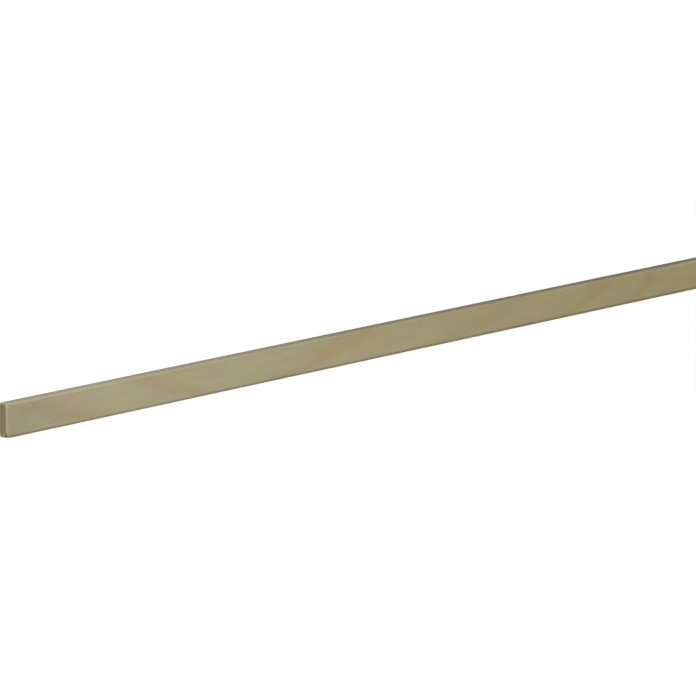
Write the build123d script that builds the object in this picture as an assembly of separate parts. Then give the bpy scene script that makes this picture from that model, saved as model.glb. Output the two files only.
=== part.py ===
from build123d import *
import os

# A flat wood strip: one straight piece of planed stock, cut square at both ends.
# It lies on its back, with the face that has the rounder edges up.
# Origin: the middle of the face that it lies on.
# +X runs along the grain, +Y across the width, +Z up through the thickness.
# All sizes are in millimetres.

# Driving dimensions
LENGTH = 1000.0  # cut length, along the grain
WIDTH = 30.0  # across a broad face
THICKNESS = 8.0  # across a narrow face
UPPER_ARRIS_RADIUS = 2.5  # the two long edges of the upper face, rounded over as the strip is planed
LOWER_ARRIS_RADIUS = 1.5  # the two long edges of the back, only eased
END_ARRIS_RADIUS = 0.5  # the rim of each sawn end, broken with abrasive paper


def planed_section():
    """The cross-section that the planer leaves: a flat rectangle with rounded corners, standing on Z = 0."""
    blank = Rectangle(WIDTH, THICKNESS, align=(Align.CENTER, Align.MIN))
    upper_corners = blank.vertices().group_by(Axis.Y)[-1]
    rounded_over = fillet(upper_corners, radius=UPPER_ARRIS_RADIUS)
    lower_corners = rounded_over.vertices().group_by(Axis.Y)[0]
    return Plane.YZ * fillet(lower_corners, radius=LOWER_ARRIS_RADIUS)


def planed_bar():
    """The section carried along the grain, to the same length each way from the middle."""
    return extrude(planed_section(), amount=LENGTH / 2, both=True)


def with_broken_rims(bar):
    """The bar with the sharp rim of each sawn end taken off."""
    by_length = bar.faces().sort_by(Axis.X)
    rims = by_length[0].edges() + by_length[-1].edges()
    return fillet(rims, radius=END_ARRIS_RADIUS)


def main():
    strip = with_broken_rims(planed_bar())
    os.makedirs("parts", exist_ok=True)
    export_step(strip, "parts/wood_strip.step")


main()
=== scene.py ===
import math
from collections import namedtuple
from types import SimpleNamespace

import bpy
import numpy as np
from mathutils import Matrix, Vector


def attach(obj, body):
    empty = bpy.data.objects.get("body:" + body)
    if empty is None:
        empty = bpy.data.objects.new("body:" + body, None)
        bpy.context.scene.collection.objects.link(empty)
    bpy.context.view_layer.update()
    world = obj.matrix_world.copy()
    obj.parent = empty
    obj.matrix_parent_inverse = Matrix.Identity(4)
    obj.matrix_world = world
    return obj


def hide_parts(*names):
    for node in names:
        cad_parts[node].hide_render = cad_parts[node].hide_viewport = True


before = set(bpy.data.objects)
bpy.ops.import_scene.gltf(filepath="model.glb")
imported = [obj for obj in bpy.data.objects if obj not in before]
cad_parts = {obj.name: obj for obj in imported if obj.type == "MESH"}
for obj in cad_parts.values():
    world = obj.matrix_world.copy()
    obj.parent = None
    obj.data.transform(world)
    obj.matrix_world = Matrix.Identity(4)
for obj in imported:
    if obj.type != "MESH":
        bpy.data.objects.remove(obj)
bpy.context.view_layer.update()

# A flat wood strip: one planed batten, cut square, lying on its back.
# +X runs along the grain, +Y across the width and +Z up through the thickness.
# The strip's lengths are in millimetres, in the trees of nodes too. The finished mesh, the floor, the lamps and
# the camera's place are in metres. Parts of the length run from 0 at the left end to 1 at the right.

MM = 0.001
TINY = 1e-6  # keeps a division off zero

# The planed stock, as the solid has it
LENGTH = 1000.0
WIDTH = 30.0
THICKNESS = 8.0
UPPER_ARRIS_RADIUS = 2.5
LOWER_ARRIS_RADIUS = 1.5
END_ARRIS_RADIUS = 0.5

# Half the outline of its section, from the middle of the back round to the middle of the face
HALF_BACK = WIDTH / 2 - LOWER_ARRIS_RADIUS
LOWER_TURN = LOWER_ARRIS_RADIUS * math.pi / 2
NARROW_FLAT = THICKNESS - UPPER_ARRIS_RADIUS - LOWER_ARRIS_RADIUS
UPPER_TURN = UPPER_ARRIS_RADIUS * math.pi / 2
HALF_FACE = WIDTH / 2 - UPPER_ARRIS_RADIUS
GIRTH = 2 * (HALF_BACK + LOWER_TURN + NARROW_FLAT + UPPER_TURN + HALF_FACE)

# How finely the faces are divided
STEPS_ALONG = 640
STEPS_ACROSS = 42
STEPS_THROUGH = 18
STEPS_IN_ARRIS = 6
STEPS_IN_END_ARRIS = 2
CROWDING = 0.15  # how strongly the steps along the strip crowd towards its ends
CROWDING_POWER = 6.0  # how near to the ends they do

# Depths of the relief, all of it inward
RAISED_GRAIN = 0.05
PLANING_WAVES = 0.06
SAW_MARKS = 0.05
EDGE_KNOCKS = 0.28

# The knocks along the arrises
KNOCKS = 22
KNOCK_REACH = (0.3, 2.9)  # from where a knock is deepest to where it is gone
KNOCK_INSET = 0.3  # in from the square corner of the section
KNOCK_FREE = 12.0  # no knock is nearer to an end
KNOCK_LEVELS = (-0.4, 1.0)  # a draw below 0 falls on a lower arris, and one above 0 on an upper arris

# The left end's front corner: its narrow face is worn back, the most at the end and at the foot
EDGE_WEAR = 1.0
EDGE_WEAR_ALONG = 5.0
EDGE_WEAR_ACROSS = 9.0
EDGE_WEAR_HEIGHTS = (1.0, 7.5)
EDGE_WEAR_ABOVE = 0.65  # the part of it that is left at the top

# The left end's upper rim is rubbed back, the most at the front, and its back edge a little
RIM_WEAR = 2.9
RIM_WEAR_ALONG = 14.0
RIM_WEAR_ACROSS = 8.0
RIM_WEAR_HEIGHTS = (2.0, 7.4)
RIM_WEAR_LEAST = 0.16  # the part of it that runs on along the rim
BACK_RIM_WEAR = 0.9
BACK_RIM_ALONG = 6.0
BACK_RIM_ACROSS = 1.9

# The tree that the strip was sawn from: its pith lies under the strip, further to one side at the left
PITH_SIDE = (18.0, 12.0)
PITH_DRIFT = (0.05, 0.2)  # the parts of the length between which it drifts
PITH_BELOW = 150.0
RING_SPACING = 3.6
RING_START = 157.86  # from the pith to where the count of the rings starts

# How far the rings climb along the strip, as (part of the length, millimetres)
GRAIN_COURSE = (
    (0.0, 7.04),
    (0.043, 5.54),
    (0.100, 3.95),
    (0.163, 2.38),
    (0.206, 1.15),
    (0.254, 0.10),
    (0.304, 1.15),
    (0.352, 2.50),
    (0.438, 4.13),
    (0.535, 6.10),
    (0.602, 7.70),
    (0.633, 8.50),
    (0.667, 9.80),
    (0.700, 10.80),
    (0.728, 12.80),
    (0.752, 14.20),
    (0.808, 15.60),
    (1.0, 19.90),
)

# A year's ring: the parts of it over which its late growth darkens and ends, and how dark the faintest is
LATE_GROWTH = (0.50, 0.86)
LATE_GROWTH_ENDS = (0.88, 1.0)
FAINTEST_YEAR = 0.5

# Noise drawn out along the grain: the length and breadth of its streaks, its seed, its detail and its roughness
Streaks = namedtuple("Streaks", "length breadth seed detail roughness", defaults=(2.0, 0.5))
RING_SWAY = Streaks(110.0, 16.0, 3.1)
RING_WAVER = Streaks(24.0, 4.0, 7.7)
PLANER_CHATTER = Streaks(60.0, 18.0, 11.3)
FIBRE = Streaks(34.0, 0.8, 21.0, 3.0, 0.6)
FINE_FIBRE = Streaks(7.0, 0.16, 23.0, 1.0)
CLOUD = Streaks(60.0, 16.0, 27.0, 4.0, 0.65)
BLUSH = Streaks(44.0, 12.0, 31.0, 5.0, 0.72)
TINGE = Streaks(24.0, 13.0, 33.0, 4.0, 0.7)
ARRIS_PATCHES = Streaks(45.0, 30.0, 35.0)
PORES = Streaks(2.6, 0.17, 37.0, 0.0)
RING_SWAY_REACH = 0.9
RING_WAVER_REACH = 0.5
PORES_SHOW = (0.20, 0.30)  # the heights of the noise at which a pore begins and is whole

# What the saw left on the ends: lines, by how many to the millimetre across and up, and crumbled fibres
SawLines = namedtuple("SawLines", "across up seed")
SAW_RIDGES = SawLines(1.1, 0.12, 5.0)
SAW_SCRATCHES = SawLines(2.2, 0.25, 43.0)
CRUMBS_PER_MM = 3.0
CRUMBS_SEED = 41.0
CRUMBS_SHARE = 0.8

# How squarely the surface faces the end where it turns into sawn wood, and how far in the left end's marks fade
END_FACING = (0.35, 0.95)
LEFT_END_REACH = (2.0, 6.0)

# Marks on the left end: a painted highlight on its pale back rim, and its worn corner's fibres split into
# streaks
PALE_RIM_FROM = (12.6, 13.6)
PALE_RIM_FACING = (0.1, 0.5)
WORN_CORNER = (-13.0, -6.0)
SPLIT_SPACING = 3.1
SPLIT_HEIGHT = 1.4

# Marks along the arrises: how far from each one they reach, and where the upper half and the back half begin
ARRIS_REACH = (1.2, 3.7)
UPPER_HALF = (3.0, 5.0)
BACK_HALF = (-2.0, 2.0)
# How patchy the marks along the arrises are: rubbed colour, painted shade and highlight, and darkening
ARRIS_PATCH_LEVEL = 0.85
ARRIS_PATCHINESS = 0.9

# Painted shade at the front of the upper face, where its arris turns from the light: how far in the unshaded
# face begins, at the left and further on, how much less of it there is round the arris itself, and how strong
# it is
FRONT_UNSHADED_PARTS = (0.10, 0.50)
FRONT_UNSHADED_FROM = (3.4, 4.1)
FRONT_SHADE_FADE = 1.9
FRONT_ARRIS = (0.1, 1.65)
FRONT_ARRIS_SHADE = 0.35
FRONT_SHADE_PARTS = (0.05, 0.45)
FRONT_PAINTED_SHADE = (1.08, 1.42)

# Painted shade on the back of the upper face, as (parts of the length, what it gains); below 0, painted
# highlight
BACK_ARRIS_SHADE_REACH = (1.2, 4.9)
BACK_ARRIS_PAINTED_LIGHT_COURSE = (
    ((0.0, 0.15), 0.40),
    ((0.2, 0.42), -0.14),
    ((0.56, 0.78), -0.52),
)

# Other darkening, on the lower arrises and beside the left end, and painted shade on that end's front edge and
# foot
LOWER_ARRIS_DARKENING = 0.3
LEFT_END_DARKENING_FROM = (0.002, 0.004)
LEFT_END_DARKENING_TO = (0.0, 0.10)
LEFT_END_DARKENING = 0.50
END_EDGE = (-13.4, -12.2)
END_EDGE_PAINTED_SHADE = 0.6
END_FOOT = (0.8, 2.6)
END_FOOT_PAINTED_SHADE = 0.5

# Wood colours, as linear light
PALE_WOOD = (0.362, 0.318, 0.192)
LATE_WOOD = (0.338, 0.272, 0.148)
# rubbed wood, paler and bluer: partly a painted highlight
RUBBED_WOOD_AND_HIGHLIGHT = (0.410, 0.390, 0.285)
LATE_WOOD_SHOWS = 0.75

# By how squarely they face the end, the ends' broken rims are rubbed, with a painted highlight, as the back
# arris is
RIM_BEGINS = (0.0, 0.3)
RIM_ENDS = (0.5, 0.9)
RUBBED_PARTS = (0.2, 0.8)
RUBBED_AND_HIGHLIGHT_SHOWS = (0.12, 0.26)  # how much rubbing and painted highlight shows, at the left and at the right

# Tints that multiply the wood's colour
COOL_BLUSH = (0.94, 1.01, 1.09)
WARM_BLUSH = (1.06, 0.99, 0.91)
BLUSH_CONTRAST = 2.4
PINK_TINGE = (1.045, 0.93, 1.045)
GREEN_TINGE = (0.955, 1.06, 0.955)
TINGE_CONTRAST = 2.0
MELLOW_TINT = (1.00, 0.95, 0.84)  # towards the right end
MELLOW_PARTS = (0.15, 0.7)
NARROW_FACE_TINT = (0.89, 0.95, 1.08)
NARROW_FACE_FROM = (WIDTH / 2 - 1.6, WIDTH / 2 - 0.2)
END_GRAIN_TINT = (0.935, 0.85, 0.755)  # on the sawn ends, and on their lower rims
FOOT_HEIGHTS = (0.4, 1.4)
FOOT_FACING = (0.0, 0.25)

# How much each thing lightens the wood, or darkens it where it is below 0
FIBRE_TONE = 0.17
FINE_FIBRE_TONE = 0.14
CLOUD_TONE = 0.26
# the darkening: painted shade and light along the arrises and at the left end, and plain darkening
DARKENING_AND_PAINTED_LIGHT_TONE = -0.30
# On the narrow faces: a painted highlight at the left, turning to painted shade toward the right
NARROW_FACE_PARTS = (0.04, 0.40)
NARROW_FACE_PAINTED_LIGHT = (0.05, -0.16)
PORE_TONE = -0.24
END_RING_TONE = -0.36
SAWN_TONE = 0.14
# The pale back rim of the left end is a painted highlight
PALE_RIM_HIGHLIGHT = 0.22
SPLIT_TONE = 0.22
DARKEST = 0.45  # the tone goes no lower

# Sheen, and the ridges that are too fine for the mesh
ROUGHNESS = 0.72
FIBRE_ROUGHNESS = 0.12
RUBBED_ROUGHNESS = -0.08
END_ROUGHNESS = 0.14
SPECULAR = 0.22
RIDGE_DEPTH = 0.05
RIDGE_STRENGTH = 0.6
FINE_FIBRE_RIDGE = 0.6
PORE_RIDGE = -0.5
SAWN_RIDGE = 2.5

# The flat layout of the surface for its texture, as parts of a square picture
LAYOUT_ROWS = 3
LAYOUT_MARGIN = 0.008
LAYOUT_ROW_WIDTH = 0.915
LAYOUT_ROW_PITCH = 0.33
LAYOUT_ROW_HEIGHT = 0.312
LAYOUT_ENDS_FROM = 0.945
LAYOUT_END_WIDTH = 0.047
LAYOUT_END_HEIGHT = 0.475
LAYOUT_LEFT_END = 0.01
LAYOUT_RIGHT_END = 0.51
END_SQUARENESS = 0.7  # faces turned to the end more than this are laid out with it
END_NEARNESS = 4.0  # if they lie this near to it

# The studio: a white floor just under the strip. Near the strip it glows less and the lamps make up the rest,
# so that the strip's shadow shows.
FLOOR_REACH = 30.0
FLOOR_LEVEL = -0.0002
FLOOR_PAINT = 0.20
FLOOR_NEAR = (0.12, 0.45)
FLOOR_GLOW = (0.84, 1.0)
FLOOR_NEAR_STRETCH = 0.4
AIR_LIGHT = 0.12
AIR_WHITE = 1.0

# Lamps: name, place, the spot that each is aimed at, width, height and power
SOFT_BOXES = (
    ("main_box", (-0.55, 0.74, 2.35), (-0.1, 0.0, 0.0), 1.4, 1.0, 52.0),
    ("side_box", (-0.30, 1.00, 0.20), (-1.10, 0.40, 0.10), 0.5, 0.3, 6.3),
    ("front_box", (0.15, -1.30, 0.10), (0.15, 0.0, 0.0), 0.9, 0.15, 4.0),
    ("end_box", (-1.50, 0.25, 0.20), (-0.5, 0.0, 0.0), 0.4, 0.3, 4.5),
)

# The camera, fitted to the photograph's corners and edges
CAMERA_PLACE = (-2.02789, 0.82725, 2.17186)
CAMERA_FORWARD = (0.632777, -0.276231, -0.723388)
CAMERA_UP = (0.161479, 0.960741, -0.225614)
SENSOR_WIDTH = 36.0
FOCAL_LENGTH = 177.05
NEAREST_SEEN = 0.05
FURTHEST_SEEN = 100.0


class Wiring:
    """Adds nodes to a tree, and joins them as it goes."""

    def __init__(self, tree):
        self.tree = tree

    def node(self, kind, **settings):
        made = self.tree.nodes.new(kind)
        for name, value in settings.items():
            setattr(made, name, value)
        return made

    def feed(self, socket, value):
        if isinstance(value, bpy.types.NodeSocket):
            self.tree.links.new(value, socket)
        else:
            socket.default_value = value

    def math(self, operation, *values, clamp=False):
        made = self.node("ShaderNodeMath", operation=operation, use_clamp=clamp)
        for socket, value in zip(made.inputs, values):
            self.feed(socket, value)
        return made.outputs[0]

    def total(self, *values):
        result = values[0]
        for value in values[1:]:
            result = self.math("ADD", result, value)
        return result

    def product(self, *values):
        result = values[0]
        for value in values[1:]:
            result = self.math("MULTIPLY", result, value)
        return result

    def less(self, value, amount):
        return self.math("SUBTRACT", value, amount)

    def half(self, value):
        return self.product(value, 0.5)

    def slant(self, first, second):
        """How far a place is from a corner, from how far it is from each of the corner's sides."""
        return self.math("SQRT", self.total(self.product(first, first), self.product(second, second)))

    def vector(self, operation, *values):
        made = self.node("ShaderNodeVectorMath", operation=operation)
        for socket, value in zip(made.inputs, values):
            self.feed(socket, value)
        return made

    def scaled(self, vector, factor):
        made = self.vector("SCALE", vector)
        self.feed(made.inputs["Scale"], factor)
        return made.outputs["Vector"]

    def split(self, vector):
        made = self.node("ShaderNodeSeparateXYZ")
        self.feed(made.inputs[0], vector)
        return made.outputs[0], made.outputs[1], made.outputs[2]

    def join(self, x, y, z):
        made = self.node("ShaderNodeCombineXYZ")
        for socket, value in zip(made.inputs, (x, y, z)):
            self.feed(socket, value)
        return made.outputs[0]

    def span(self, value, low, high, first=0.0, last=1.0, smooth=False):
        """value, brought from the range low to high to the range first to last, and held inside it."""
        made = self.node("ShaderNodeMapRange", interpolation_type="SMOOTHSTEP" if smooth else "LINEAR")
        for socket, number in zip(made.inputs, (value, low, high, first, last)):
            self.feed(socket, number)
        return made.outputs[0]

    def fade(self, distance, reach):
        """1 at no distance, falling evenly to 0 at its reach."""
        return self.span(distance, 0.0, reach, 1.0, 0.0)

    def noise(self, place, seed, detail=2.0, roughness=0.5):
        """Smooth noise about 0, mostly within half a unit of it."""
        made = self.node("ShaderNodeTexNoise", noise_dimensions="4D")
        self.feed(made.inputs["Vector"], place)
        self.feed(made.inputs["W"], seed)
        self.feed(made.inputs["Scale"], 1.0)
        self.feed(made.inputs["Detail"], detail)
        self.feed(made.inputs["Roughness"], roughness)
        return self.less(made.outputs["Fac"], 0.5)

    def streaks(self, place, kind):
        """Noise drawn out along the grain."""
        stretch = (1 / kind.length, 1 / kind.breadth, 1 / kind.breadth)
        stretched = self.vector("MULTIPLY", place, stretch).outputs["Vector"]
        return self.noise(stretched, kind.seed, kind.detail, kind.roughness)

    def lifted(self, noise):
        """Noise about 0, brought to lie from 0 to 1."""
        return self.math("ADD", noise, 0.5, clamp=True)

    def tint(self, mode, amount, first, second):
        made = self.node("ShaderNodeMix", data_type="RGBA", blend_type=mode)
        self.feed(made.inputs[0], amount)
        for socket, colour in ((made.inputs[6], first), (made.inputs[7], second)):
            self.feed(socket, (*colour, 1.0) if isinstance(colour, tuple) else colour)
        return made.outputs[2]

    def curve(self, value, points):
        """value, from 0 to 1, read off a smooth curve through points."""
        top = max(height for place, height in points)
        points = [(place, height / top) for place, height in points]
        made = self.node("ShaderNodeFloatCurve")
        line = made.mapping.curves[0]
        line.points[0].location = points[0]
        line.points[1].location = points[-1]
        for point in points[1:-1]:
            line.points.new(*point)
        made.mapping.update()
        self.feed(made.inputs["Value"], value)
        return self.product(made.outputs[0], top)


def emptied(owner):
    """Clears the tree of a material or a world, ready to be wired."""
    owner.use_nodes = True
    owner.node_tree.nodes.clear()
    return Wiring(owner.node_tree)


def growth(w, place):
    """How dark the late growth of a year's ring is at a place in the strip, from 0 to 1."""
    x, y, z = w.split(place)
    part = w.span(x, -LENGTH / 2, LENGTH / 2)
    rise = w.curve(part, GRAIN_COURSE)
    side = w.less(y, w.span(part, *PITH_DRIFT, *PITH_SIDE))
    from_pith = w.slant(side, w.total(z, PITH_BELOW))
    sway = w.product(w.streaks(place, RING_SWAY), RING_SWAY_REACH)
    waver = w.product(w.streaks(place, RING_WAVER), RING_WAVER_REACH)
    year = w.math("DIVIDE", w.less(w.total(from_pith, rise, sway, waver), RING_START), RING_SPACING)
    season = w.math("FRACT", year)
    darkening = w.span(season, *LATE_GROWTH, smooth=True)
    closing = w.span(season, *LATE_GROWTH_ENDS, 1.0, 0.0, smooth=True)
    weather = w.node("ShaderNodeTexWhiteNoise", noise_dimensions="1D")
    w.feed(weather.inputs["W"], w.math("FLOOR", year))
    strength = w.span(weather.outputs["Value"], 0.0, 1.0, FAINTEST_YEAR, 1.0)
    return w.product(darkening, closing, strength)


def saw_lines(w, y, z, kind):
    """Lines that a saw leaves up a sawn end."""
    return w.noise(w.join(0.0, w.product(y, kind.across), w.product(z, kind.up)), kind.seed)


def size_inputs(tree, sizes):
    """Gives a tree an input for each named size, and returns the sizes by the inputs' identifiers."""
    by_identifier = {}
    for name, value in sizes:
        socket = tree.interface.new_socket(name, in_out="INPUT", socket_type="NodeSocketFloat")
        socket.default_value = value
        by_identifier[socket.identifier] = value
    return by_identifier


def position(w):
    return w.node("GeometryNodeInputPosition").outputs[0]


def moved(w, shape, offset=None, place=None):
    """The shape with its points moved by an offset, or to a place."""
    move = w.node("GeometryNodeSetPosition")
    w.feed(move.inputs["Geometry"], shape)
    if place is not None:
        w.feed(move.inputs["Position"], place)
    if offset is not None:
        w.feed(move.inputs["Offset"], offset)
    return move.outputs[0]


def keep(w, shape, name, value):
    """Keeps a value on the shape's points, for later steps and the finish to read."""
    kept = w.node("GeometryNodeStoreNamedAttribute")
    w.feed(kept.inputs["Geometry"], shape)
    kept.inputs["Name"].default_value = name
    w.feed(kept.inputs["Value"], value)
    return kept.outputs[0]


def kept_value(w, name):
    read = w.node("GeometryNodeInputNamedAttribute")
    read.inputs["Name"].default_value = name
    return read.outputs[0]


def roundness(w, first, second):
    """What turns a square corner round, for a place that lies this far into both of its sides."""
    furthest = w.math("MAXIMUM", first, second)
    return w.math("DIVIDE", furthest, w.math("MAXIMUM", w.slant(first, second), TINY))


def rounded_bar(w, given):
    """A closed bar with its long arrises and the rims of its ends rounded, in even steps."""
    blank = w.node("GeometryNodeMeshCube")
    blank.inputs["Size"].default_value = (STEPS_ALONG, STEPS_ACROSS, STEPS_THROUGH)
    blank.inputs["Vertices X"].default_value = STEPS_ALONG + 1
    blank.inputs["Vertices Y"].default_value = STEPS_ACROSS + 1
    blank.inputs["Vertices Z"].default_value = STEPS_THROUGH + 1
    step_x, step_y, step_z = w.split(position(w))
    upper, lower, rim = given["Upper arris radius"], given["Lower arris radius"], given["End arris radius"]
    last_flat_z = STEPS_THROUGH / 2 - STEPS_IN_ARRIS
    side_radius = w.span(step_z, -last_flat_z, last_flat_z, lower, upper)
    level_radius = w.span(w.math("GREATER_THAN", step_z, 0.0), 0.0, 1.0, lower, upper)

    def flat_and_arris(step, steps, arris_steps, size, corner, crowding=0.0):
        """A step's side, its place on the flat and how far it is into the arris, counted from the middle."""
        count = w.math("ABSOLUTE", step)
        edge = steps / 2 - arris_steps
        share = w.span(count, 0.0, edge)
        if crowding:
            crowd = w.product(w.math("POWER", share, CROWDING_POWER), crowding)
            share = w.less(w.product(share, 1.0 + crowding), crowd)
        flat = w.product(share, w.less(w.half(given[size]), corner))
        return w.math("SIGN", step), flat, w.span(count, edge, steps / 2, 0.0, corner)

    side_x, flat_x, into_x = flat_and_arris(step_x, STEPS_ALONG, STEPS_IN_END_ARRIS, "Length", rim, CROWDING)
    side_y, flat_y, into_y = flat_and_arris(step_y, STEPS_ACROSS, STEPS_IN_ARRIS, "Width", side_radius)
    side_z, flat_z, into_z = flat_and_arris(step_z, STEPS_THROUGH, STEPS_IN_ARRIS, "Thickness", level_radius)

    # The corners of the section are turned round first, and then the rim of each end.
    deep = w.math("MAXIMUM", into_y, into_z)
    before_rim = w.less(side_radius, rim)
    into_rim = w.math("MAXIMUM", w.less(deep, before_rim), 0.0)
    rim_turn = roundness(w, into_x, into_rim)
    reached = w.total(w.math("MINIMUM", deep, before_rim), w.product(into_rim, rim_turn))
    shrink = w.math("DIVIDE", reached, w.math("MAXIMUM", deep, TINY))
    pull = w.product(roundness(w, into_y, into_z), shrink)
    above_middle = w.product(side_z, w.total(flat_z, w.product(into_z, pull)))
    bar = w.join(
        w.product(side_x, w.total(flat_x, w.product(into_x, rim_turn))),
        w.product(side_y, w.total(flat_y, w.product(into_y, pull))),
        w.total(w.half(given["Thickness"]), above_middle),
    )
    facing_end = w.math("DIVIDE", w.product(into_x, rim_turn), rim)
    shape = keep(w, blank.outputs["Mesh"], "facing_end", facing_end)
    return moved(w, shape, place=bar)


def knocks(w, place):
    """Small dents along the arrises, from 0 to 1."""
    spots = w.node("GeometryNodePoints")
    spots.inputs["Count"].default_value = KNOCKS

    def chance(low, high, seed):
        made = w.node("FunctionNodeRandomValue")
        made.inputs[2].default_value = low
        made.inputs[3].default_value = high
        made.inputs["Seed"].default_value = seed
        return made.outputs[1]

    far = LENGTH / 2 - KNOCK_FREE
    side = w.product(w.math("SIGN", chance(-1.0, 1.0, 2)), WIDTH / 2 - KNOCK_INSET)
    level = w.product(w.math("SIGN", chance(*KNOCK_LEVELS, 3)), THICKNESS / 2 - KNOCK_INSET)
    w.feed(spots.inputs["Position"], w.join(chance(-far, far, 1), side, w.total(level, THICKNESS / 2)))
    nearest = w.node("GeometryNodeProximity", target_element="POINTS")
    w.feed(nearest.inputs["Geometry"], spots.outputs[0])
    w.feed(nearest.inputs["Sample Position"], place)
    return w.span(nearest.outputs["Distance"], *KNOCK_REACH, 1.0, 0.0, smooth=True)


def surface_relief(w, given):
    """How far each point lies in from the planed sizes: late growth stands up, and tools and knocks go in."""
    place = position(w)
    _, y, z = w.split(place)
    sunk = w.product(w.less(1.0, growth(w, place)), given["Raised grain"])
    wave = w.product(w.lifted(w.streaks(place, PLANER_CHATTER)), given["Planing waves"])
    saw = w.lifted(saw_lines(w, y, z, SAW_RIDGES))
    saw = w.product(saw, kept_value(w, "facing_end"), given["Saw marks"])
    return w.total(sunk, wave, saw, w.product(knocks(w, place), given["Edge knocks"]))


def left_end_wear(w, given):
    """How far wear has moved the left end: at its front narrow face, its upper rim and its back edge."""
    x, y, z = w.split(position(w))
    from_end = w.total(x, w.half(given["Length"]))
    from_front = w.total(y, w.half(given["Width"]))
    from_back = w.less(w.half(given["Width"]), y)
    taper = w.product(w.fade(from_end, EDGE_WEAR_ALONG), w.fade(from_front, EDGE_WEAR_ACROSS))
    taper = w.product(taper, w.span(z, *EDGE_WEAR_HEIGHTS, 1.0, EDGE_WEAR_ABOVE))
    rubbed = w.math("MAXIMUM", w.fade(from_front, RIM_WEAR_ACROSS), RIM_WEAR_LEAST)
    rubbed = w.product(rubbed, w.span(z, *RIM_WEAR_HEIGHTS, smooth=True), w.fade(from_end, RIM_WEAR_ALONG))
    back = w.fade(from_back, BACK_RIM_ACROSS)
    back = w.product(back, back, w.fade(from_end, BACK_RIM_ALONG))
    gone = w.total(w.product(rubbed, given["Rim wear"]), w.product(back, given["Back rim wear"]))
    return w.join(gone, w.product(taper, given["Edge wear"]), 0.0)


def strip_tree(finish):
    """The tree of nodes that shapes the planed strip from its sizes."""
    tree = bpy.data.node_groups.new("planed_strip_shape", "GeometryNodeTree")
    sizes = size_inputs(tree, (
        ("Length", LENGTH),
        ("Width", WIDTH),
        ("Thickness", THICKNESS),
        ("Upper arris radius", UPPER_ARRIS_RADIUS),
        ("Lower arris radius", LOWER_ARRIS_RADIUS),
        ("End arris radius", END_ARRIS_RADIUS),
        ("Raised grain", RAISED_GRAIN),
        ("Planing waves", PLANING_WAVES),
        ("Saw marks", SAW_MARKS),
        ("Edge knocks", EDGE_KNOCKS),
        ("Edge wear", EDGE_WEAR),
        ("Rim wear", RIM_WEAR),
        ("Back rim wear", BACK_RIM_WEAR),
    ))
    tree.interface.new_socket("Strip", in_out="OUTPUT", socket_type="NodeSocketGeometry")
    w = Wiring(tree)
    given = w.node("NodeGroupInput").outputs

    shape = rounded_bar(w, given)
    outward = w.node("GeometryNodeInputNormal").outputs[0]
    shape = moved(w, shape, offset=w.scaled(outward, w.product(surface_relief(w, given), -1.0)))
    shape = moved(w, shape, offset=left_end_wear(w, given))
    shape = moved(w, shape, place=w.scaled(position(w), MM))
    smooth = w.node("GeometryNodeSetShadeSmooth")
    w.feed(smooth.inputs["Geometry"], shape)
    real = w.node("GeometryNodeRealizeInstances")
    w.feed(real.inputs["Geometry"], smooth.outputs[0])
    dressed = w.node("GeometryNodeSetMaterial")
    w.feed(dressed.inputs["Geometry"], real.outputs[0])
    w.feed(dressed.inputs["Material"], finish)
    w.feed(w.node("NodeGroupOutput").inputs[0], dressed.outputs[0])
    return tree, sizes


def grown_mesh(name, tree, sizes):
    """Runs a tree on an empty object and keeps the result as a plain mesh object."""
    piece = bpy.data.objects.new(name, bpy.data.meshes.new(name))
    bpy.context.scene.collection.objects.link(piece)
    shaping = piece.modifiers.new("shape", "NODES")
    shaping.node_group = tree
    for identifier, value in sizes.items():
        shaping[identifier] = value
    depsgraph = bpy.context.evaluated_depsgraph_get()
    grown = bpy.data.meshes.new_from_object(piece.evaluated_get(depsgraph), depsgraph=depsgraph)
    piece.modifiers.remove(shaping)
    piece.data = grown
    grown.name = name
    return piece


def round_section(y, z):
    """How far round the section each place is, in millimetres from the middle of the back."""
    out = np.abs(y)
    edge_top = THICKNESS - UPPER_ARRIS_RADIUS
    low_angle = np.arctan2(np.maximum(out - HALF_BACK, 0.0), np.maximum(LOWER_ARRIS_RADIUS - z, 0.0))
    high_angle = np.arctan2(np.maximum(z - edge_top, 0.0), np.maximum(out - HALF_FACE, 0.0))
    below = z < LOWER_ARRIS_RADIUS
    above = z > edge_top
    along_edge = HALF_BACK + LOWER_TURN + np.clip(z - LOWER_ARRIS_RADIUS, 0.0, NARROW_FLAT)
    way = np.where(below, HALF_BACK + LOWER_ARRIS_RADIUS * low_angle, along_edge)
    way = np.where(below & (out <= HALF_BACK), out, way)
    way = np.where(above, along_edge + UPPER_ARRIS_RADIUS * high_angle, way)
    way = np.where(above & (out <= HALF_FACE), along_edge + UPPER_TURN + HALF_FACE - out, way)
    return np.where(y < 0, GIRTH - way, way)


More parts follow.
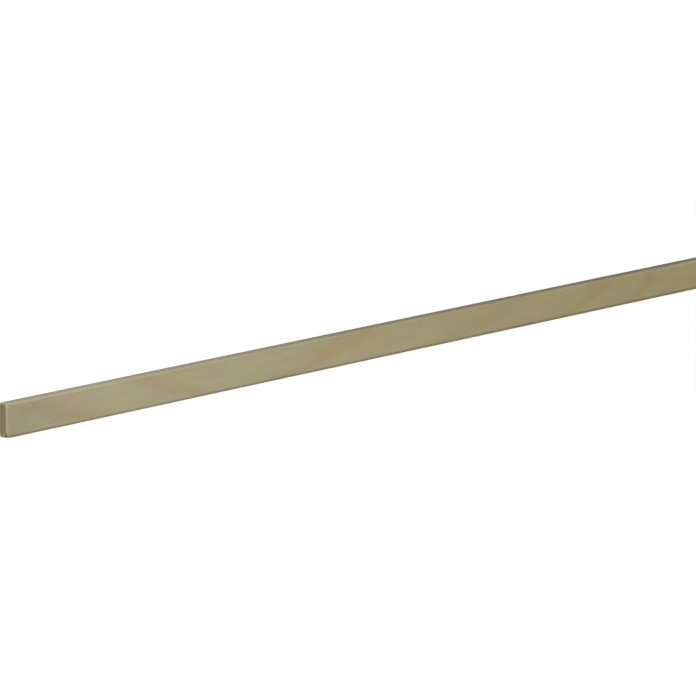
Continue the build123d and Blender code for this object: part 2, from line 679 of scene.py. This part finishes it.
def lay_out_texture(piece):
    """Lays the surface out flat for a texture: the strip in three lengths, and its two ends beside them."""
    mesh = piece.data
    points = np.empty(len(mesh.vertices) * 3)
    mesh.vertices.foreach_get("co", points)
    points = points.reshape(-1, 3) / MM
    corners = np.empty(len(mesh.loops), int)
    mesh.loops.foreach_get("vertex_index", corners)
    places = points[corners.reshape(-1, 4)]
    middles = places.mean(axis=1)
    facing = np.cross(places[:, 2] - places[:, 0], places[:, 3] - places[:, 1])
    facing /= np.linalg.norm(facing, axis=1)[:, None]

    stretch = LENGTH / LAYOUT_ROWS
    row = np.clip(((middles[:, 0] + LENGTH / 2) // stretch).astype(int), 0, LAYOUT_ROWS - 1)
    along = (places[:, :, 0] + LENGTH / 2 - row[:, None] * stretch) / stretch
    way = round_section(places[:, :, 1], places[:, :, 2])
    middle_way = round_section(middles[:, 1], middles[:, 2])
    way += GIRTH * np.round((middle_way[:, None] - way) / GIRTH)
    u = LAYOUT_MARGIN + LAYOUT_ROW_WIDTH * along
    v = LAYOUT_MARGIN + row[:, None] * LAYOUT_ROW_PITCH + LAYOUT_ROW_HEIGHT * way / GIRTH

    at_end = (np.abs(facing[:, 0]) > END_SQUARENESS) & (np.abs(middles[:, 0]) > LENGTH / 2 - END_NEARNESS)
    end_foot = np.where(middles[:, 0] > 0, LAYOUT_RIGHT_END, LAYOUT_LEFT_END)
    end_u = LAYOUT_ENDS_FROM + LAYOUT_END_WIDTH * places[:, :, 2] / THICKNESS
    end_v = end_foot[:, None] + LAYOUT_END_HEIGHT * (places[:, :, 1] / WIDTH + 0.5)
    u = np.where(at_end[:, None], end_u, u)
    v = np.where(at_end[:, None], end_v, v)
    layer = mesh.uv_layers.new(name="OFBake")
    layer.data.foreach_set("uv", np.stack([u, v], axis=2).ravel())


def place_on_strip(w):
    """Where on the strip the finish is: its place, its part of the length, and how far it belongs to an end."""
    place = w.scaled(w.node("ShaderNodeTexCoord").outputs["Object"], 1 / MM)
    x, y, z = w.split(place)
    left_from, left_to = LEFT_END_REACH
    facing = w.node("ShaderNodeAttribute", attribute_name="facing_end").outputs["Fac"]
    return SimpleNamespace(
        place=place,
        y=y,
        z=z,
        part=w.span(x, -LENGTH / 2, LENGTH / 2),
        facing=facing,
        end=w.span(facing, *END_FACING, smooth=True),
        left_end=w.span(x, left_from - LENGTH / 2, left_to - LENGTH / 2, 1.0, 0.0),
    )


def wood_texture(w, at):
    """The wood's fibres, pores, clouds and rings, and what the saw left on its ends."""
    crumbs = w.noise(w.scaled(at.place, CRUMBS_PER_MM), CRUMBS_SEED)
    scratches = saw_lines(w, at.y, at.z, SAW_SCRATCHES)
    return SimpleNamespace(
        late=growth(w, at.place),
        fibre=w.streaks(at.place, FIBRE),
        fine_fibre=w.streaks(at.place, FINE_FIBRE),
        cloud=w.streaks(at.place, CLOUD),
        pores=w.span(w.streaks(at.place, PORES), *PORES_SHOW, smooth=True),
        sawn=w.product(w.total(scratches, w.product(crumbs, CRUMBS_SHARE)), at.end),
    )


def left_end_marks(w, at):
    """On the left end: the painted highlight of its pale back rim, its worn corner, and its streaks of split
    fibres.
    """
    at_back = w.span(at.y, *PALE_RIM_FROM, smooth=True)
    pale_rim = w.product(at.left_end, at_back, w.span(at.facing, *PALE_RIM_FACING))
    worn = w.product(at.end, at.left_end, w.span(at.y, *WORN_CORNER, 1.0, 0.0, smooth=True))
    turn = w.product(w.less(at.z, SPLIT_HEIGHT), 2 * math.pi / SPLIT_SPACING)
    return SimpleNamespace(pale_rim=pale_rim, worn=worn, split=w.product(w.math("COSINE", turn), worn))


def rubbed_darkened_and_painted_light(w, at, worn):
    """How rubbed the back arris of the upper face is, with a painted highlight, and the wood's painted light
    and darkening.
    """
    off_y = w.less(w.math("ABSOLUTE", at.y), WIDTH / 2)
    off_z = w.less(w.math("ABSOLUTE", w.less(at.z, THICKNESS / 2)), THICKNESS / 2)
    from_arris = w.slant(off_y, off_z)
    from_front = w.total(at.y, WIDTH / 2)
    patchy = w.total(ARRIS_PATCH_LEVEL, w.product(w.streaks(at.place, ARRIS_PATCHES), ARRIS_PATCHINESS))
    upper = w.span(at.z, *UPPER_HALF)
    at_back = w.span(at.y, *BACK_HALF)
    near = w.product(w.span(from_arris, *ARRIS_REACH, 1.0, 0.0, smooth=True), patchy)
    # The back arris is rubbed: smoother, and paler partly as a painted highlight
    rubbed = w.product(near, upper, at_back)

    # Painted shade along the front arris of the upper face, where it turns from the light
    unshaded_from = w.span(at.part, *FRONT_UNSHADED_PARTS, *FRONT_UNSHADED_FROM)
    onto_face = w.product(
        w.span(from_front, w.less(unshaded_from, FRONT_SHADE_FADE), unshaded_from, 1.0, 0.0, smooth=True),
        w.span(from_front, *FRONT_ARRIS, FRONT_ARRIS_SHADE, 1.0, smooth=True),
    )
    front = w.product(onto_face, upper, patchy)
    # Painted shade on the back arris toward the left, and a painted highlight toward the right
    back = w.product(w.span(from_arris, *BACK_ARRIS_SHADE_REACH, 1.0, 0.0, smooth=True), patchy, upper, at_back)
    back_course = w.total(*(w.span(at.part, *parts, 0.0, gain) for parts, gain in BACK_ARRIS_PAINTED_LIGHT_COURSE))
    under = w.less(near, w.product(near, upper))
    # Painted shade on the left end's front edge
    end_edge = w.product(at.end, at.left_end, w.span(at.y, *END_EDGE, 1.0, 0.0))
    darkening_and_painted_light = w.total(
        # darker on the strip beside the left end
        w.product(w.span(at.part, *LEFT_END_DARKENING_FROM), w.span(at.part, *LEFT_END_DARKENING_TO, LEFT_END_DARKENING, 0.0)),
        # painted shade on the front arris, stronger toward the right
        w.product(front, w.span(at.part, *FRONT_SHADE_PARTS, *FRONT_PAINTED_SHADE)),
        w.product(back, back_course),
        # darker along the lower arrises
        w.product(under, LOWER_ARRIS_DARKENING),
        # painted shade on the left end's front edge, and on its foot by the floor
        w.product(end_edge, END_EDGE_PAINTED_SHADE),
        w.product(w.less(at.end, worn), at.left_end, w.span(at.z, *END_FOOT, 1.0, 0.0), END_FOOT_PAINTED_SHADE),
    )
    return rubbed, darkening_and_painted_light


def wood_colour(w, at, late, rubbed, narrow_face):
    """The wood's colour: pale wood with late growth and rubbed places with a painted highlight, in patches;
    browner on the ends.
    """
    rim = w.product(w.span(at.facing, *RIM_BEGINS), w.span(at.facing, *RIM_ENDS, 1.0, 0.0))
    # rubbed places and end rims turn paler: rubbed wood and a painted highlight
    bare_and_highlit = w.product(w.math("MAXIMUM", rubbed, rim), w.span(at.part, *RUBBED_PARTS, *RUBBED_AND_HIGHLIGHT_SHOWS))
    wood = w.tint("MIX", w.product(late, LATE_WOOD_SHOWS), PALE_WOOD, LATE_WOOD)
    wood = w.tint("MIX", bare_and_highlit, wood, RUBBED_WOOD_AND_HIGHLIGHT)
    warmth = w.lifted(w.product(w.streaks(at.place, BLUSH), BLUSH_CONTRAST))
    wood = w.tint("MULTIPLY", 1.0, wood, w.tint("MIX", warmth, COOL_BLUSH, WARM_BLUSH))
    greenness = w.lifted(w.product(w.streaks(at.place, TINGE), TINGE_CONTRAST))
    wood = w.tint("MULTIPLY", 1.0, wood, w.tint("MIX", greenness, PINK_TINGE, GREEN_TINGE))
    wood = w.tint("MULTIPLY", w.span(at.part, *MELLOW_PARTS), wood, MELLOW_TINT)
    wood = w.tint("MULTIPLY", narrow_face, wood, NARROW_FACE_TINT)
    foot_rim = w.product(w.span(at.z, *FOOT_HEIGHTS, 1.0, 0.0), w.span(at.facing, *FOOT_FACING))
    return w.tint("MULTIPLY", w.math("MAXIMUM", at.end, foot_rim), wood, END_GRAIN_TINT)


def planed_wood():
    """Pale planed wood, the same all through the strip, with darker grain at the sawn ends."""
    finish = bpy.data.materials.new("planed_wood")
    w = emptied(finish)
    at = place_on_strip(w)
    grain = wood_texture(w, at)
    marks = left_end_marks(w, at)
    rubbed, darkening_and_painted_light = rubbed_darkened_and_painted_light(w, at, marks.worn)
    narrow_face = w.span(w.math("ABSOLUTE", at.y), *NARROW_FACE_FROM, smooth=True)
    shade = w.total(
        1.0,
        w.product(grain.fibre, FIBRE_TONE),
        w.product(grain.fine_fibre, FINE_FIBRE_TONE),
        w.product(grain.cloud, CLOUD_TONE),
        # painted shade and light, and plain darkening
        w.product(darkening_and_painted_light, DARKENING_AND_PAINTED_LIGHT_TONE),
        # painted highlight and painted shade on the narrow faces
        w.product(narrow_face, w.span(at.part, *NARROW_FACE_PARTS, *NARROW_FACE_PAINTED_LIGHT)),
        w.product(grain.pores, PORE_TONE),
        w.product(grain.late, w.less(at.end, marks.worn), END_RING_TONE),
        w.product(grain.sawn, SAWN_TONE),
        # the painted highlight on the left end's pale back rim
        w.product(marks.pale_rim, PALE_RIM_HIGHLIGHT),
        w.product(marks.split, SPLIT_TONE),
    )
    rough = w.total(
        ROUGHNESS,
        w.product(grain.fibre, FIBRE_ROUGHNESS),
        w.product(rubbed, RUBBED_ROUGHNESS),
        w.product(at.end, END_ROUGHNESS),
    )
    height = w.total(
        grain.fibre,
        w.product(grain.fine_fibre, FINE_FIBRE_RIDGE),
        w.product(grain.pores, PORE_RIDGE),
        w.product(grain.sawn, SAWN_RIDGE),
    )
    ridges = w.node("ShaderNodeBump")
    ridges.inputs["Distance"].default_value = RIDGE_DEPTH * MM
    ridges.inputs["Strength"].default_value = RIDGE_STRENGTH
    w.feed(ridges.inputs["Height"], height)
    wood = wood_colour(w, at, grain.late, rubbed, narrow_face)
    skin = w.node("ShaderNodeBsdfPrincipled")
    w.feed(skin.inputs["Base Color"], w.scaled(wood, w.math("MAXIMUM", shade, DARKEST)))
    w.feed(skin.inputs["Roughness"], rough)
    skin.inputs["Specular IOR Level"].default_value = SPECULAR
    w.feed(skin.inputs["Normal"], ridges.outputs[0])
    w.feed(w.node("ShaderNodeOutputMaterial").inputs["Surface"], skin.outputs[0])
    return finish


def seen_directly(w):
    """1 for rays that carry the picture itself, and 0 for those that carry light to the wood."""
    path = w.node("ShaderNodeLightPath")
    seen = w.math("MAXIMUM", path.outputs["Is Camera Ray"], path.outputs["Is Glossy Ray"])
    return w.math("MAXIMUM", seen, path.outputs["Is Transmission Ray"])


def floor_finish():
    """White paint that keeps the strip's shadow, and is clear when looked at from below."""
    finish = bpy.data.materials.new("pale_floor")
    w = emptied(finish)
    x, y, _ = w.split(w.node("ShaderNodeTexCoord").outputs["Object"])
    away = w.vector("LENGTH", w.join(w.product(x, FLOOR_NEAR_STRETCH), y, 0.0)).outputs["Value"]
    glow = w.span(away, *FLOOR_NEAR, *FLOOR_GLOW, smooth=True)
    lit = w.node("ShaderNodeEmission")
    w.feed(lit.inputs["Strength"], w.product(seen_directly(w), glow))
    paint = w.node("ShaderNodeBsdfDiffuse")
    paint.inputs["Color"].default_value = (FLOOR_PAINT, FLOOR_PAINT, FLOOR_PAINT, 1.0)
    both = w.node("ShaderNodeAddShader")
    w.feed(both.inputs[0], lit.outputs[0])
    w.feed(both.inputs[1], paint.outputs[0])
    clear = w.node("ShaderNodeBsdfTransparent")
    under = w.node("ShaderNodeMixShader")
    w.feed(under.inputs[0], w.node("ShaderNodeNewGeometry").outputs["Backfacing"])
    w.feed(under.inputs[1], both.outputs[0])
    w.feed(under.inputs[2], clear.outputs[0])
    w.feed(w.node("ShaderNodeOutputMaterial").inputs["Surface"], under.outputs[0])
    return finish


def studio_floor():
    """A plain white floor, just under the strip."""
    near, far = -FLOOR_REACH, FLOOR_REACH
    outline = ((near, near), (far, near), (far, far), (near, far))
    sheet = bpy.data.meshes.new("studio_floor")
    sheet.from_pydata([(x, y, FLOOR_LEVEL) for x, y in outline], [], [(0, 1, 2, 3)])
    sheet.materials.append(floor_finish())
    floor = bpy.data.objects.new("studio_floor", sheet)
    bpy.context.scene.collection.objects.link(floor)


def studio_air():
    """Even light from all round, with white behind everything."""
    world = bpy.data.worlds.new("studio_air")
    bpy.context.scene.world = world
    w = emptied(world)
    air = w.node("ShaderNodeBackground")
    air.inputs["Color"].default_value = (1.0, 1.0, 1.0, 1.0)
    w.feed(air.inputs["Strength"], w.span(seen_directly(w), 0.0, 1.0, AIR_LIGHT, AIR_WHITE))
    w.feed(w.node("ShaderNodeOutputWorld").inputs["Surface"], air.outputs[0])


def soft_box(name, place, aim, width, height, power):
    """A rectangular studio lamp."""
    lamp = bpy.data.lights.new(name, "AREA")
    lamp.shape = "RECTANGLE"
    lamp.size = width
    lamp.size_y = height
    lamp.energy = power
    stand = bpy.data.objects.new(name, lamp)
    bpy.context.scene.collection.objects.link(stand)
    stand.location = place
    stand.rotation_euler = (Vector(aim) - Vector(place)).to_track_quat("-Z", "Y").to_euler()
    stand.visible_camera = False


def camera():
    """The camera at the photograph's place, for a square picture."""
    lens = bpy.data.cameras.new("camera")
    lens.sensor_width = SENSOR_WIDTH
    lens.lens = FOCAL_LENGTH
    lens.clip_start = NEAREST_SEEN
    lens.clip_end = FURTHEST_SEEN
    forward = Vector(CAMERA_FORWARD).normalized()
    up = Vector(CAMERA_UP).normalized()
    right = forward.cross(up).normalized()
    up = right.cross(forward)
    turn = Matrix((right, up, -forward)).transposed().to_4x4()
    body = bpy.data.objects.new("camera", lens)
    bpy.context.scene.collection.objects.link(body)
    body.matrix_world = Matrix.Translation(CAMERA_PLACE) @ turn
    bpy.context.scene.camera = body


bpy.context.scene.view_settings.view_transform = "Standard"
camera()
studio_air()
studio_floor()
for box in SOFT_BOXES:
    soft_box(*box)

tree, sizes = strip_tree(planed_wood())
strip = grown_mesh("planed_wood_strip", tree, sizes)
lay_out_texture(strip)
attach(strip, "root")
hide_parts("wood_strip")
